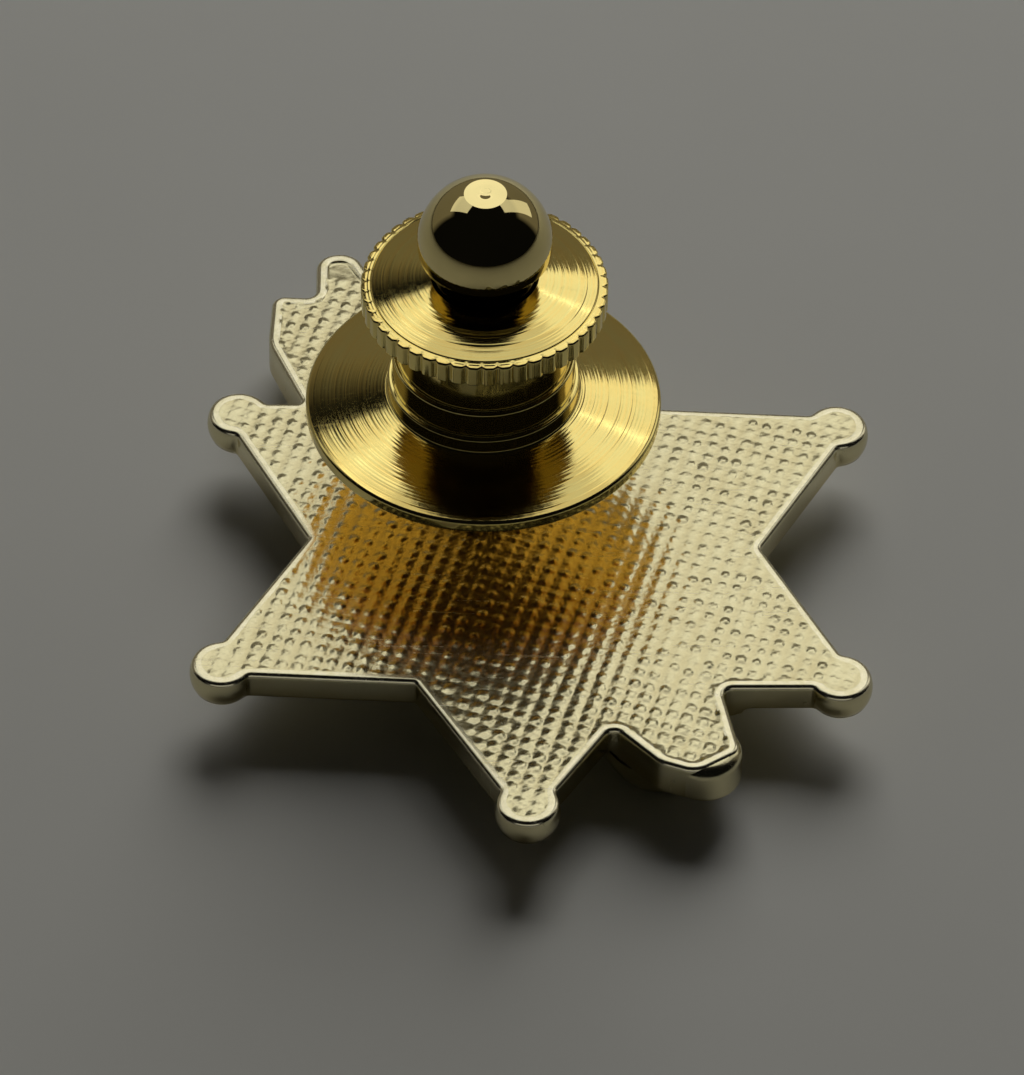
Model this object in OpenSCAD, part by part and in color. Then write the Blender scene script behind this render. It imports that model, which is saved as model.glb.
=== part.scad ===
// Star badge with ball tips, lying face down, with a ball-headed locking clutch on its soldered post.
// Millimetres, +Z up. The origin is on the flat of the raised front form, under the star's centre.

/* [Star badge] */
// Radius to where the straight edges of an arm would meet
tip_r = 12.35; // [11.5:0.05:13.2]
// Radius to the notches between the arms
notch_r = 7.36; // [7.1:0.02:7.6]
// Radius of the ball on each tip
ball_r = 1.05; // [0.95:0.05:1.15]
// Radius from the star's centre to a ball's centre
ball_ring_r = 11.4; // [11.2:0.05:11.6]
// Depth of a ball's centre under the back face
ball_depth = 0.45; // [0.35:0.05:0.6]
// Thickness of the plate at its edge
plate_t = 1.0; // [0.8:0.05:1.2]
// Height of the back face above the surface that the badge lies on
back_z = 2.7; // [2.4:0.1:3.2]

/* [Back of the badge] */
// Width of the smooth border around the dotted field
border_w = 0.24; // [0.15:0.01:0.35]
// Height of the border above the field
border_h = 0.1; // [0.05:0.01:0.2]

/* [Raised front form] */
// Thickness at the edge of the form that lies across the front, back face to front step
form_t = 1.35; // [1.2:0.05:1.5]
// Half width of the rib along the form, at its foot
rib_r = 1.85; // [1.6:0.05:1.95]
// Half width of the flat on the rib, on which the badge rests
rib_flat_r = 1.1; // [0.9:0.05:1.4]

/* [Post] */
// Where the post stands on the back, to the right of the star's centre
post_x = -1.75; // [-3:0.05:3]
// Where the post stands on the back, up the star from its centre
post_y = 2.7; // [-3:0.05:4]
// Radius of the post's root, which the cloth goes round
post_root_r = 0.6; // [0.55:0.01:0.61]
// Radius of the post's thinner stem, which the clutch grips
post_stem_r = 0.44; // [0.38:0.01:0.5]
// Height of the root's shoulder above the back face
post_root_h = 3.2; // [2.5:0.1:3.3]
// Height of the post above the back face
post_h = 8; // [7:0.1:8.4]

/* [Clutch] */
// Radius of the clutch's wide disc
disc_r = 5.75; // [5:0.05:6.5]
// Thickness of the disc at its rim
disc_t = 0.48; // [0.4:0.02:0.6]
// Rise of the disc's cone from its rim to the barrel
disc_rise = 0.5; // [0.3:0.05:0.6]
// Height of the disc's upper rim above the badge's back face
disc_lift = 3.9; // [3.85:0.05:4.4]
// Radius of the barrel's lowest step
barrel_r = 3.1; // [3:0.05:3.4]
// Height of the barrel above the disc's rim
barrel_h = 4.25; // [4:0.05:4.6]
// Radius of the knurled ring
ring_r = 3.95; // [3.6:0.05:4.4]
// Thickness of the knurled ring at its edge
ring_t = 0.76; // [0.6:0.02:0.9]
// Rise of the ring's cone from its edge to the neck
ring_rise = 0.42; // [0.2:0.02:0.5]
// Number of grooves in the ring's edge
knurls = 48; // [36:1:56]
// Radius of the ball head
head_r = 2.16; // [2.05:0.01:2.4]
// Radius of the flat on top of the ball head
head_flat_r = 0.6; // [0.3:0.05:0.9]
// Height of the ball head's centre above the disc's rim
head_z = 6.87; // [6.7:0.01:7.2]
// Radius of the neck under the ball head
neck_r = 1.65; // [1.5:0.05:1.7]
// How far the head lifts to let the post go
head_travel = 1.5; // [1:0.1:1.5]

/* [Hidden] */
$fn = 96;

arc_steps = 6;
past = 0.5;
arms = 6;
arm_step = 360 / arms;
// Half the angle between the two edges of an arm
arm_half_angle = atan2(notch_r * sin(arm_step / 2), tip_r - notch_r * cos(arm_step / 2));
notch_round = 0.15;

// The two ends of the front form that reach past the star, drawn for a star of this tip radius.
// Corners run anticlockwise: x, y, rounding radius.
lobe_scale = tip_r / 12.35;
upper_lobe = [
    [-3.05, 7.40, 0.40],
    [-6.35, 13.60, 0.80],
    [-7.60, 13.40, 0.70],
    [-7.55, 11.34, 0.35],
    [-9.00, 11.40, 0.45],
    [-9.05, 9.10, 1.60],
    [-7.78, 6.25, 0.15]
];
lower_lobe = [
    [2.62, -8.08, 0.35],
    [4.15, -9.62, 0.90],
    [5.30, -10.02, 0.90],
    [6.70, -9.05, 0.55],
    [6.10, -6.32, 0.30]
];
// The band that joins the two ends across the front: x, y, rounding radius
band_right = [
    [7.10, -6.20, 0.20],
    [3.30, -2.60, 3.00]
];
band_left = [[-4.80, 1.80, 3.00]];
lobe_upper_seat = [-6.4, 9.2] * lobe_scale;
lobe_lower_seat = [4.2, -7.1] * lobe_scale;
// Round boss on the lower end, a little proud of its edge, from the front step up to boss_drop under the back
boss_seat = [5.55, -8.85] * lobe_scale;
boss_r = 1.2;
boss_drop = 0.35;

weld_r = post_root_r + 0.3;
weld_h = 0.25;
post_taper = 1.2;
post_point_r = 0.12;
shoulder_h = 0.15;

// The bore is sized on the root, so that the clutch can be pushed down over it
bore_r = post_root_r + 0.03;
fit_gap = 0.03;
run_gap = 0.05;
rim_z = back_z + disc_lift;
rim_round = 0.12;
chamber_r = 2.1;
chamber_floor = 0.55;
step_1_z = 1.05;
step_2_z = 2.05;
step_drop = 0.15;
step_chamfer = 0.08;
ring_z = barrel_h + fit_gap;
head_cut = 0.45;
head_flat_z = head_z + sqrt(pow(head_r, 2) - pow(head_flat_r, 2));
plunger_z = chamber_floor + run_gap;
plunger_flange_t = 0.6;
plunger_flange_r = chamber_r - 0.1;
head_bore_top = head_z + 0.05;
knurl_cutter_r = 0.16;
knurl_depth = 0.09;

function unit(v) = v / norm(v);
function left_of(v) = [-v[1], v[0]];
function turn_of(a, b) = a[0] * b[1] - a[1] * b[0];
function xy(row) = [row[0], row[1]];
function before(rows, i) = xy(rows[(i + len(rows) - 1) % len(rows)]);
function after(rows, i) = xy(rows[(i + 1) % len(rows)]);
function scaled(rows, k) = [for (row = rows) row * k];

// Points of the arc that rounds the corner q between the edges towards p and s
function corner_arc(p, q, s, r) =
    let (
        a = unit(p - q),
        b = unit(s - q),
        half = acos(a * b) / 2,
        centre = q + unit(a + b) * r / sin(half),
        start = q + a * r / tan(half) - centre,
        end = q + b * r / tan(half) - centre,
        from = atan2(start[1], start[0]),
        sweep = atan2(turn_of(start, end), start * end)
    )
    [for (i = [0:arc_steps]) centre + r * [cos(from + sweep * i / arc_steps), sin(from + sweep * i / arc_steps)]];

// All points of an outline whose corners are rows of x, y and rounding radius
function rounded(rows) = [
    for (i = [0:len(rows) - 1])
        each rows[i][2] > 0 ? corner_arc(before(rows, i), xy(rows[i]), after(rows, i), rows[i][2]) : [xy(rows[i])]
];

// The same corners with every edge moved inwards by d: convex roundings shrink and hollow ones grow
function inset_row(rows, i, d) =
    let (
        q = xy(rows[i]),
        edge_in = unit(q - before(rows, i)),
        edge_out = unit(after(rows, i) - q),
        n_in = left_of(edge_in),
        n_out = left_of(edge_out),
        moved = q + (n_in + n_out) * d / (1 + n_in * n_out),
        r = rows[i][2]
    )
    [moved[0], moved[1], turn_of(edge_in, edge_out) > 0 ? max(r - d, 0) : r + (r > 0 ? d : 0)];
function inset(rows, d) = [for (i = [0:len(rows) - 1]) inset_row(rows, i, d)];

// An arm is cut off square at its ball's centre, one corner on each side
function arm_corners(angle) = [
    for (side = [-1, 1])
        let (
            along = [cos(angle), sin(angle)],
            across = side * (tip_r - ball_ring_r) * tan(arm_half_angle),
            p = along * ball_ring_r + left_of(along) * across
        )
        [p[0], p[1], 0]
];
function notch_corner(angle) = [[notch_r * cos(angle), notch_r * sin(angle), notch_round]];

star_corners = concat(
    notch_corner(0), arm_corners(30), notch_corner(60), arm_corners(90),
    scaled(upper_lobe, lobe_scale), arm_corners(150), notch_corner(180),
    arm_corners(210), notch_corner(240), arm_corners(270),
    scaled(lower_lobe, lobe_scale), arm_corners(330)
);
form_corners = concat(
    scaled(upper_lobe, lobe_scale), scaled(band_left, lobe_scale),
    scaled(lower_lobe, lobe_scale), scaled(band_right, lobe_scale)
);

// Stands its children at each of the six tips
module at_tips() {
    for (i = [0:arms - 1])
        rotate([0, 0, arm_step * (i + 0.5)])
            translate([ball_ring_r, 0, 0])
                children();
}

// One ball, cut flush with the back face
module tip_ball() {
    difference() {
        translate([0, 0, back_z - ball_depth])
            sphere(r = ball_r);
        translate([-2 * ball_r, -2 * ball_r, back_z])
            cube([4 * ball_r, 4 * ball_r, 2 * ball_r]);
    }
}

// Right side of the rib's section: from the flat's edge round to the front step, and on into the form
rib_side = concat(
    [for (i = [0:arc_steps])
        let (a = 90 * i / arc_steps)
        [rib_flat_r + (rib_r - rib_flat_r) * sin(a), (back_z - form_t) * (1 - cos(a))]],
    [[rib_r, back_z - form_t + past]]
);
rib_half = concat([[0, 0]], rib_side, [[0, back_z - form_t + past]]);
rib_whole = concat(rib_side, [for (i = [len(rib_side) - 1:-1:0]) [-rib_side[i][0], rib_side[i][1]]]);

// Straight rib with round ends along the middle of the front form
module rib() {
    run = lobe_lower_seat - lobe_upper_seat;
    translate([lobe_upper_seat[0], lobe_upper_seat[1], 0])
        rotate([0, 0, atan2(run[1], run[0])]) {
            rotate([0, 0, 90])
                rotate_extrude(angle = 180)
                    polygon(rib_half);
            rotate([90, 0, 90])
                linear_extrude(height = norm(run))
                    polygon(rib_whole);
            translate([norm(run), 0, 0])
                rotate([0, 0, -90])
                    rotate_extrude(angle = 180)
                        polygon(rib_half);
        }
}

// Soldered post: fillet of solder, root with a shoulder, stem and point
module post() {
    field_z = back_z - border_h;
    translate([post_x, post_y, field_z])
        rotate_extrude()
            polygon([
                [0, -past],
                [weld_r, -past],
                [weld_r, 0],
                [post_root_r, weld_h],
                [post_root_r, border_h + post_root_h],
                [post_stem_r, border_h + post_root_h + shoulder_h],
                [post_stem_r, border_h + post_h - post_taper],
                [post_point_r, border_h + post_h],
                [0, border_h + post_h]
            ]);
}

module star_badge() {
    field_z = back_z - border_h;
    color("gold") {
        difference() {
            union() {
                translate([0, 0, back_z - plate_t])
                    linear_extrude(height = plate_t)
                        polygon(rounded(star_corners));
                translate([0, 0, back_z - form_t])
                    linear_extrude(height = form_t - plate_t / 2)
                        polygon(rounded(form_corners));
                translate([boss_seat[0], boss_seat[1], back_z - form_t])
                    cylinder(r = boss_r, h = form_t - boss_drop);
                at_tips()
                    tip_ball();
                rib();
            }
            translate([0, 0, field_z])
                linear_extrude(height = border_h + past)
                    polygon(rounded(inset(star_corners, border_w)));
            at_tips()
                translate([0, 0, field_z])
                    cylinder(r = sqrt(pow(ball_r, 2) - pow(ball_depth, 2)) - border_w, h = border_h + past);
        }
        post();
    }
}

// Turned housing: disc with a coned top, stepped barrel, chamber and bore for the post
module clutch_base() {
    step_1_r = barrel_r - step_drop;
    step_2_r = step_1_r - step_drop;
    color("goldenrod")
        translate([post_x, post_y, rim_z])
            rotate_extrude()
                polygon([
                    [bore_r, rim_round - disc_t],
                    [bore_r + rim_round, -disc_t],
                    [disc_r - rim_round, -disc_t],
                    [disc_r, rim_round - disc_t],
                    [disc_r, -rim_round],
                    [disc_r - rim_round, 0],
                    [barrel_r, disc_rise],
                    [barrel_r, step_1_z - step_chamfer],
                    [barrel_r - step_chamfer, step_1_z],
                    [step_1_r, step_1_z],
                    [step_1_r, step_2_z - step_chamfer],
                    [step_1_r - step_chamfer, step_2_z],
                    [step_2_r, step_2_z],
                    [step_2_r, barrel_h],
                    [chamber_r, barrel_h],
                    [chamber_r, chamber_floor],
                    [bore_r, chamber_floor]
                ]);
}

// Upper flange with a coned top and a grooved edge, on a spigot that goes into the barrel
module knurled_ring() {
    hole_r = neck_r + run_gap;
    spigot_r = chamber_r - fit_gap;
    spigot_z = plunger_z + plunger_flange_t + head_travel + run_gap;
    color("goldenrod")
        translate([post_x, post_y, rim_z])
            difference() {
                rotate_extrude()
                    polygon([
                        [hole_r, spigot_z],
                        [spigot_r, spigot_z],
                        [spigot_r, ring_z],
                        [ring_r, ring_z],
                        [ring_r, ring_z + ring_t - rim_round / 2],
                        [ring_r - rim_round / 2, ring_z + ring_t],
                        [hole_r, ring_z + ring_t + ring_rise]
                    ]);
                for (i = [0:knurls - 1])
                    rotate([0, 0, 360 * i / knurls])
                        translate([ring_r + knurl_cutter_r - knurl_depth, 0, ring_z - past])
                            cylinder(r = knurl_cutter_r, h = ring_t + 2 * past, $fn = 24);
            }
}

// Ball head on its neck, with the flanged plunger that grips the post
module clutch_head() {
    color("gold")
        translate([post_x, post_y, rim_z])
            difference() {
                union() {
                    difference() {
                        translate([0, 0, head_z])
                            sphere(r = head_r);
                        translate([-2 * head_r, -2 * head_r, head_z - head_cut - 2 * head_r])
                            cube([4 * head_r, 4 * head_r, 2 * head_r]);
                        translate([-2 * head_r, -2 * head_r, head_flat_z])
                            cube([4 * head_r, 4 * head_r, 2 * head_r]);
                    }
                    translate([0, 0, plunger_z])
                        cylinder(r = neck_r, h = head_z - plunger_z);
                    translate([0, 0, plunger_z])
                        cylinder(r = plunger_flange_r, h = plunger_flange_t);
                }
                translate([0, 0, plunger_z - past])
                    cylinder(r = bore_r, h = head_bore_top - plunger_z + past);
            }
}

star_badge();
clutch_base();
knurled_ring();
clutch_head();
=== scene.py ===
"""Lapel pin: a star badge with ball tips, lying face down, and the ball-headed locking clutch on its post.

Every new surface is a grid of points that numpy works out from a path and a profile. Lengths are in metres,
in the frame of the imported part.
"""
import math

import bpy
import numpy as np
from bpy.props import FloatProperty, FloatVectorProperty, IntProperty, PointerProperty
from bpy.types import Operator, Panel, PropertyGroup
from mathutils import Matrix, Vector


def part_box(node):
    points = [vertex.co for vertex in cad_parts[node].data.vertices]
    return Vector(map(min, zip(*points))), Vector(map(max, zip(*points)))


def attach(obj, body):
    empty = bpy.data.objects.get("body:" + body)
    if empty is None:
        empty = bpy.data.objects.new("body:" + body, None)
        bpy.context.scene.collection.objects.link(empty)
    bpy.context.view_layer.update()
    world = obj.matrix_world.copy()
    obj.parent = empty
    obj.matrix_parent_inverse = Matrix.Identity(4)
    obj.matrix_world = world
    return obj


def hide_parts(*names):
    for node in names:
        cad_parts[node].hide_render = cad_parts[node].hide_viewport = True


bl_info = {
    "name": "Lapel Pin",
    "version": (1, 0, 0),
    "blender": (4, 5, 0),
    "location": "View3D > Sidebar > Lapel Pin",
    "description": "Dresses the packed lapel pin: cast star, dotted back, turned clutch and stage",
    "category": "Object",
}

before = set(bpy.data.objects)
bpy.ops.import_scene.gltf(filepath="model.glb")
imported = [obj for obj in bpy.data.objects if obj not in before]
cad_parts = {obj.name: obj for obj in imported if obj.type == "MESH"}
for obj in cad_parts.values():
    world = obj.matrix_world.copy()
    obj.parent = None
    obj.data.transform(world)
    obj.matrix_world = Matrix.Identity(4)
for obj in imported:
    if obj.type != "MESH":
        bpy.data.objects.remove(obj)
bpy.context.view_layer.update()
MM = 0.001
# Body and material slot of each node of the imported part
PLACES = {
    "star_badge": ("badge", "plated_casting"),
    "clutch_base": ("clutch", "turned_gold"),
    "knurled_ring": ("clutch", "turned_gold"),
    "clutch_head": ("head", "polished_gold"),
}

BASE_LOW, BASE_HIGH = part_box("clutch_base")
RING_LOW, RING_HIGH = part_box("knurled_ring")
HEAD_LOW, HEAD_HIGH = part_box("clutch_head")
CLUTCH_AXIS = (BASE_LOW + BASE_HIGH) / 2
POST_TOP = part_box("star_badge")[1].z

# Corners of the raised form's two ends, and of the band between them: x, y and rounding radius in mm
UPPER_LOBE = np.array([
    (-3.05, 7.40, 0.40), (-6.35, 13.598, 0.80), (-7.60, 13.40, 0.70), (-7.55, 11.34, 0.35),
    (-9.00, 11.40, 0.45), (-9.05, 9.10, 1.60), (-7.78, 6.25, 0.15),
])
LOWER_LOBE = np.array([
    (2.62, -8.08, 0.35), (4.15, -9.62, 0.90), (5.30, -10.02, 0.90), (6.70, -9.05, 0.55),
    (6.10, -6.32, 0.30),
])
BAND_LEFT = np.array([(-4.80, 1.80, 3.00)])
BAND_RIGHT = np.array([(7.10, -6.20, 0.20), (3.30, -2.60, 3.00)])
# Ends of the rib on the front, and the middle of the round boss on the lower end
RIB_SEATS = np.array([(-6.4, 9.2), (4.2, -7.1)])
BOSS_SEAT = np.array([5.55, -8.85])
BALL_WAYS = range(30, 390, 60)
# Two points nearer than this are one point, and no corner is sharper than the radius
SAME, SHARPEST = 1e-9, 1e-7
LIGHT_DISTANCE = 0.34


def setting(made=FloatProperty, scale=1, **extras):
    """A maker of properties, from a name, a default in the maker's unit and a description."""

    def make(name, default, description):
        return made(name=name, default=default * scale, description=description, **extras)

    return make


# Lengths are given in mm and angles in degrees, and are kept in metres and radians
length = setting(scale=MM, precision=6, unit="LENGTH", subtype="DISTANCE")
angle = setting(scale=math.radians(1), unit="ROTATION", subtype="ANGLE")
share = setting(subtype="FACTOR", min=0, max=1)
radiance = setting(min=0)
colour = setting(FloatVectorProperty, subtype="COLOR", size=3, min=0, max=1)


class BadgeSizes(PropertyGroup):
    """Sizes of the star badge, from its back face at height back."""

    tip: length("Tip radius", 12.35, "Where the straight edges of an arm would meet")
    notch: length("Notch radius", 7.36, "From the centre to the notches between the arms")
    notch_round: length("Notch rounding", 0.15, "Radius of the rounding in a notch")
    ball: length("Ball radius", 1.046, "Radius of the ball on each tip")
    ball_ring: length("Ball ring", 11.4, "From the star's centre to a ball's centre")
    ball_depth: length("Ball depth", 0.45, "Depth of a ball's centre under the back face")
    ball_fillet: length("Ball fillet", 0.35, "Hollow rounding where an arm runs into its ball")
    back: length("Back height", 2.7, "Height of the back face above the floor")
    plate: length("Plate", 1.0, "Thickness of the plate at its edge")
    form: length("Form", 1.35, "Thickness at the edge of the raised front form")
    shoulder: length("Shoulder", 0.17, "Rounding of the edge round the back")
    heel: length("Heel", 0.08, "Rounding of the edge round the front")
    rib: length("Rib", 1.85, "Half width of the rib at its foot")
    rib_flat: length("Rib flat", 1.1, "Half width of the flat on which the badge rests")


class DotSizes(PropertyGroup):
    """Sizes of the dots that are cast into the back."""

    pitch: length("Pitch", 0.5, "Spacing of the dots both ways")
    turn: angle("Turn", -15.3, "Turn of the rows of dots from +X")
    start_x: length("Start X", 4.64, "X of the middle of one dot")
    start_y: length("Start Y", -1.36, "Y of the middle of one dot")
    radius: length("Radius", 0.215, "Radius of a dot at its foot")
    height: length("Height", 0.022, "Height of a dot above the field")
    swell: share("Swell", 0.3, "How much larger the dots are at the lower end")
    ridge: length("Ridge", 0.009, "Height of the ridge that joins the dots of a column")
    grain: length("Grain", 0.0005, "Height of each wave of the cast surface's unevenness")
    border: length("Border", 0.3, "Width of the smooth border round the field")
    border_rise: length("Border rise", 0.04, "Height of the border above the field on the two lobes")
    samples: IntProperty(name="Samples", default=9, min=4, max=12,
                         description="Grid points for each dot, both ways")


class ClutchSizes(PropertyGroup):
    """Sizes of the clutch; heights are above the disc's upper rim."""

    rim: length("Rim height", 6.6, "Height of the disc's upper rim above the floor")
    disc: length("Disc radius", (BASE_HIGH.x - BASE_LOW.x) / 2 / MM, "Radius of the wide disc")
    disc_edge: length("Disc edge", 0.48, "Thickness of the disc at its rim")
    disc_rise: length("Disc rise", 0.5, "Rise of the disc's cone")
    barrel: length("Barrel radius", 3.1, "Radius of the barrel's lowest step")
    barrel_top: length("Barrel height", 4.25, "Height of the barrel")
    ring: length("Ring radius", (RING_HIGH.x - RING_LOW.x) / 2 / MM, "Radius of the knurled ring")
    ring_edge: length("Ring edge", 0.76, "Thickness of the ring at its edge")
    ring_rise: length("Ring rise", 0.42, "Rise of the ring's cone")
    knurls: IntProperty(name="Knurls", default=48, min=12, description="Grooves in the ring's edge")
    knurl_depth: length("Knurl depth", 0.1, "Depth of a groove")
    knurl_width: length("Knurl width", 0.3, "Width of a groove")
    head: length("Head radius", (HEAD_HIGH.x - HEAD_LOW.x) / 2 / MM, "Radius of the ball head")
    head_flat: length("Head flat", 0.68, "Radius of the crowned flat on top of the ball head")
    head_up: length("Head height", 6.87, "Height of the ball head's centre")
    head_cut: length("Head cut", 0.45, "Depth below its centre where the ball head is cut flat")
    neck: length("Neck radius", 1.65, "Radius of the neck under the head")
    bore: length("Bore radius", 0.63, "Radius of the bore for the post")
    chamber: length("Chamber radius", 2.1, "Radius of the chamber in the barrel")
    chamber_floor: length("Chamber floor", 0.55, "Height of the chamber's floor")


class Finishes(PropertyGroup):
    """Colours and gloss of the plated metal."""

    casting: colour("Casting", (0.73, 0.67, 0.42), "Pale gold plate on the cast star")
    # Deep colour: the random mottle mixes some in, and it is painted shade between the dots and low on the
    # wall
    casting_deep: colour("Casting, deep", (0.5, 0.4, 0.18), "The plate down between the dots")
    turned: colour("Turned", (0.85, 0.72, 0.27), "Gold plate on the turned parts")
    # Deep colour: in the turning lines and the random mottle, and painted shade on the undersides
    turned_deep: colour("Turned, deep", (0.95, 0.61, 0.14), "In the turning lines and under the disc")
    polished: colour("Polished", (0.86, 0.73, 0.34), "Gold plate on the polished head")
    # Painted shade: near black on the neck under the head; the random mottle also mixes a little of it in
    polished_deep: colour("Polished, deep", (0.03, 0.02, 0.01), "Dull plate on the neck")
    # Painted shade and dark reflection: near black round the post under the clutch and on the ring's
    # underside
    tarnish: colour("Painted dark shade", (0.05, 0.03, 0.012), "Dull plate round the post and under the ring")
    casting_rough: share("Casting roughness", 0.18, "Roughness of the cast star")
    turned_rough: share("Turned roughness", 0.07, "Roughness of the turned parts")
    polished_rough: share("Polished roughness", 0.025, "Roughness of the polished head")


class StageSettings(PropertyGroup):
    """Floor, lights and camera."""

    floor: colour("Floor", (0.78, 0.78, 0.755), "Plain pale floor")
    window: radiance("Window", 1.0, "Radiance of the soft light behind")
    window_top: radiance("Window top", 0.65, "Radiance of its upper part")
    wings: radiance("Wings", 0.6, "Radiance of the lights at its two sides")
    fill: radiance("Fill", 2.38, "Radiance of the light that only the floor shows")
    front: radiance("Front", 0.35, "Radiance of the panels that the badge shows in views from the back")
    wall: colour("Wall", (0.14, 0.127, 0.1), "Dim surroundings behind the part, under the soft light")
    backdrop: colour("Backdrop", (0.17, 0.17, 0.165), "Even tone behind the floor")
    light_tint: colour("Light tint", (1.0, 0.99, 0.94), "Colour of all the lights")
    elevation: angle("Camera elevation", 45.388, "Camera's height above the horizon")
    azimuth: angle("Camera azimuth", 0.607, "Camera's turn round the part")
    roll: angle("Camera roll", 0.817, "Camera's turn about its own axis")
    distance: length("Camera distance", 235.24, "From the camera to its target")
    lens: FloatProperty(name="Lens", default=242.58, min=1, unit="CAMERA",
                        description="Focal length in mm on a 36 mm sensor")


# Paths and profiles


def unit(v):
    """Each row divided by its length."""
    return v / np.linalg.norm(v, axis=-1, keepdims=True)


def heading(v):
    """Angle of each row of x and y."""
    return np.arctan2(v[..., 1], v[..., 0])


def ease(low, high, x):
    """0 below low, 1 above high, and 3t^2 - 2t^3 between them."""
    t = np.clip((x - low) / (high - low), 0, 1)
    return t * t * (3 - 2 * t)


def arc_rows(centre, radius, start, sweep, from_mark=0, to_mark=0):
    """Rows of centre x, centre y, radius, start angle, sweep, and a mark's first and last value."""
    parts = np.broadcast_arrays(centre[..., 0], centre[..., 1], radius, start, sweep, from_mark, to_mark)
    return np.stack(parts, -1).astype(float)


def corner_arcs(rows, closed=True):
    """An arc that touches both edges of each corner of x, y and radius.

    Its centre lies on the corner's bisector, at radius / sin(half the corner's angle). An open line keeps its
    two end points, as arcs of no radius that face along their edge's right-hand normal.
    """
    rows = np.asarray(rows)
    at, radius = rows[:, :2], np.maximum(rows[:, 2], SHARPEST)
    back, ahead = unit(np.roll(at, 1, 0) - at), unit(np.roll(at, -1, 0) - at)
    half = np.arccos(np.clip((back * ahead).sum(1), -1, 1)) / 2
    reach = (radius / np.tan(half))[:, None]
    centre = at + unit(back + ahead) * (radius / np.sin(half))[:, None]
    start, end = at + back * reach - centre, at + ahead * reach - centre
    sweep = np.arctan2(start[:, 0] * end[:, 1] - start[:, 1] * end[:, 0], (start * end).sum(1))
    arcs = arc_rows(centre, radius, heading(start), sweep)
    if not closed:
        for end_row, edge in ((0, at[1] - at[0]), (-1, at[-1] - at[-2])):
            arcs[end_row] = [*at[end_row], 0, math.atan2(-edge[0], edge[1]), 0, 0, 0]
    return arcs


def trace(arcs, spacing, bend, closed=True):
    """Points, outward normals and marks along a chain of arcs and the straight lines between them.

    Each arc is sampled at even angles. The whole line is then sampled evenly in length / spacing, in mm, +
    turn / bend, in degrees, and a turn on the spot takes no samples. The outward side is on the right of the
    way along the line, so a closed line runs anticlockwise.
    """
    samples = 24
    t = np.linspace(0, 1, samples)
    swing = arcs[:, 3:4] + arcs[:, 4:5] * t
    radial = np.stack([np.cos(swing), np.sin(swing)], -1)
    at = (arcs[:, None, :2] + arcs[:, 2, None, None] * radial).reshape(-1, 2)
    out = (radial * np.where(arcs[:, 4] < 0, -1, 1)[:, None, None]).reshape(-1, 2)
    mark = (arcs[:, 5:6] + (arcs[:, 6:7] - arcs[:, 5:6]) * ease(0, 1, t)).reshape(-1)
    if closed:
        at, out, mark = np.vstack([at, at[:1]]), np.vstack([out, out[:1]]), np.append(mark, mark[0])
    step = np.linalg.norm(np.diff(at, axis=0), axis=1)
    turn = np.arccos(np.clip((out[1:] * out[:-1]).sum(1), -1, 1))
    turn[step == 0] = 0
    cost = np.append(0, np.cumsum(step / (spacing * MM) + turn / math.radians(bend)))
    count = math.ceil(cost[-1])
    where = np.linspace(0, cost[-1], count + (not closed), endpoint=not closed)
    even = [np.interp(where, cost, values) for values in (*at.T, *out.T, mark)]
    return np.stack(even[:2], 1), unit(np.stack(even[2:4], 1)), even[4]


def tip_arcs(corner, before, after, ball_centre, ball, fillet):
    """Three arcs round an arm's tip: a hollow fillet off one edge, the ball, and a fillet onto the other.

    A fillet's centre is the fillet's radius outside the edge, and both radii from the ball's centre.
    """
    fillets, ways = [], []
    for other, side in ((before, 1), (after, -1)):
        along = unit(other - corner)
        out = side * np.array([-along[1], along[0]])
        off = (ball_centre - corner) @ out
        run = math.sqrt((ball + fillet) ** 2 - (fillet - off) ** 2)
        centre = ball_centre - out * off + along * run + out * fillet
        edge_way, ball_way = heading(-out), heading(ball_centre - centre)
        turn = (ball_way - edge_way + math.pi) % math.tau - math.pi
        start = edge_way if side > 0 else ball_way
        fillets.append(arc_rows(centre, fillet, start, turn * side, *(0, 1)[::side]))
        ways.append(heading(centre - ball_centre))
    round_ball = arc_rows(ball_centre, ball, ways[0], (ways[1] - ways[0]) % math.tau, 1, 1)
    return np.stack([fillets[0], round_ball, fillets[1]])


def polar(radius, degrees):
    """A point at that radius and angle."""
    return radius * np.array([math.cos(math.radians(degrees)), math.sin(math.radians(degrees))])


def star_arcs(sizes):
    """Arcs of the outline at the back face, anticlockwise: notches, ball tips and the form's two ends."""
    ball_face = math.sqrt(sizes.ball**2 - sizes.ball_depth**2)
    lobes = {90: UPPER_LOBE * MM, 270: LOWER_LOBE * MM}
    corners, tips = [], []
    for way in BALL_WAYS:
        tips.append(len(corners))
        corners.append([*polar(sizes.tip, way), 0])
        corners.extend(lobes.get(way, [[*polar(sizes.notch, way + 30), sizes.notch_round]]))
    corners = np.array(corners)
    arcs, chain = corner_arcs(corners), []
    for row in range(len(corners)):
        if row in tips:
            tip, before, after = (corners[k % len(corners), :2] for k in (row, row - 1, row + 1))
            centre = tip * sizes.ball_ring / sizes.tip
            chain.append(tip_arcs(tip, before, after, centre, ball_face, sizes.ball_fillet))
        else:
            chain.append(arcs[row:row + 1])
    return np.vstack(chain)


def form_arcs():
    """Arcs of the raised front form's outline, anticlockwise."""
    return corner_arcs(np.vstack([UPPER_LOBE, BAND_LEFT, LOWER_LOBE, BAND_RIGHT]) * MM)


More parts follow.
